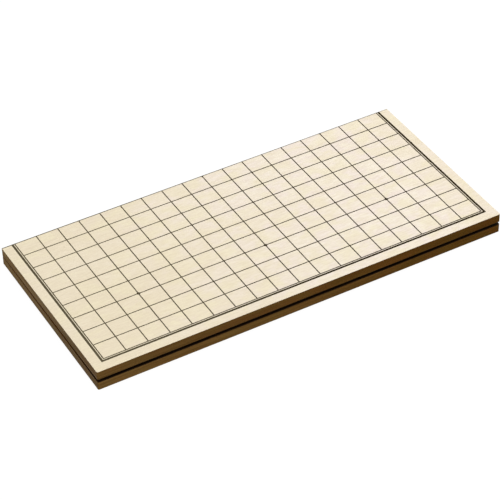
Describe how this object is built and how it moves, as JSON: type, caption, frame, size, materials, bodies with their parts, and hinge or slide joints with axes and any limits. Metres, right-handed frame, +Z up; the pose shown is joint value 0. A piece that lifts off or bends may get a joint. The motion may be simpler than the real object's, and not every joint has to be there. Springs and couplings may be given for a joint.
{
  "type": "folding go board",
  "caption": "Thin folding board for go, closed with its playing faces outwards: two veneered panels with a printed line grid, hinged along one long edge.",
  "frame": {"origin": "middle of the lower half's playing face, halfway between its front edge and the hinge axis; the closed board rests on this face", "axes": "+X along the fold, to the right as seen from the front; +Y from the front edge to the fold; +Z up, from the lower half to the upper one"},
  "size_m": [0.4544, 0.2133, 0.0226],
  "materials": {
    "maple": "pale veneer, satin lacquer",
    "walnut": "dark brown, satin lacquer",
    "core_board": "raw fibreboard",
    "print": "matt screen-printed ink",
    "hinge_brass": "satin",
    "pin_brass": "drawn, satin",
    "screw_brass": "turned, satin",
    "foot_rubber": "matt"
  },
  "bodies": {
    "lower_half": {"lower_core": "core_board", "lower_playing_veneer": "maple", "lower_backing_veneer": "walnut", "lower_front_lipping": "walnut", "lower_right_lipping": "walnut", "lower_fold_lipping": "walnut", "lower_left_lipping": "walnut", "lower_printed_grid": "print", "lower_hinge_screws": "screw_brass", "lower_feet": "foot_rubber", "hinge_1_lower_leaf": "hinge_brass", "hinge_2_lower_leaf": "hinge_brass", "hinge_3_lower_leaf": "hinge_brass", "hinge_1_pin": "pin_brass", "hinge_2_pin": "pin_brass", "hinge_3_pin": "pin_brass"},
    "upper_half": {"upper_core": "core_board", "upper_playing_veneer": "maple", "upper_backing_veneer": "walnut", "upper_front_lipping": "walnut", "upper_right_lipping": "walnut", "upper_fold_lipping": "walnut", "upper_left_lipping": "walnut", "upper_printed_grid": "print", "upper_hinge_screws": "screw_brass", "upper_feet": "foot_rubber", "hinge_1_upper_leaf": "hinge_brass", "hinge_2_upper_leaf": "hinge_brass", "hinge_3_upper_leaf": "hinge_brass"}
  },
  "joints": [
    {"name": "fold", "type": "hinge", "parent": "lower_half", "child": "upper_half", "pos_m": [0, 0.10605, 0.0101], "axis": [-1, 0, 0], "range_deg": [0, 179.35]}
  ]
}
